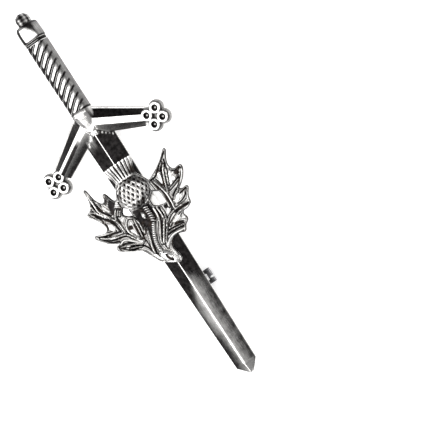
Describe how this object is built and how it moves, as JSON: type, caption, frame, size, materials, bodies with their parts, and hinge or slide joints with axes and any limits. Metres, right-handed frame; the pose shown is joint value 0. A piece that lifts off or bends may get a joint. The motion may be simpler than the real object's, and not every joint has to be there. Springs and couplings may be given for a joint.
{
  "type": "kilt pin",
  "caption": "Sword-shaped kilt pin with a thistle mounted over its blade, and a hinged pin with a roll-over safety catch on its flat back.",
  "frame": {"origin": "on the table, under the middle of the box round the whole pin", "axes": "+Y from the blade's point to the pommel, +Z out of the front face, +X to the right seen from the front with the pommel up"},
  "size_m": [0.0314, 0.085, 0.0084],
  "materials": {
    "sword_pewter": "cast pewter, polished high faces, blackened recesses and blade",
    "thistle_pewter": "cast pewter, polished relief over blackened recesses",
    "finding_steel": "nickel plated, dark and bright",
    "pin_steel": "polished steel wire"
  },
  "bodies": {
    "root": {"sword": "sword_pewter", "thistle": "thistle_pewter", "hinge_bracket": "finding_steel", "hinge_rivet": "finding_steel", "catch_housing": "finding_steel"},
    "pin": {"pin_stem": "pin_steel"},
    "roller": {"catch_roller": "finding_steel"}
  },
  "joints": [
    {"name": "pin_hinge", "type": "hinge", "parent": "root", "child": "pin", "pos_m": [0, 0.0169, 0.0016], "axis": [1, 0, 0], "range_deg": [0, 75]},
    {"name": "catch_roll", "type": "hinge", "parent": "root", "child": "roller", "pos_m": [0, -0.0219, 0.0016], "axis": [0, 1, 0], "range_deg": [0, 180]}
  ]
}
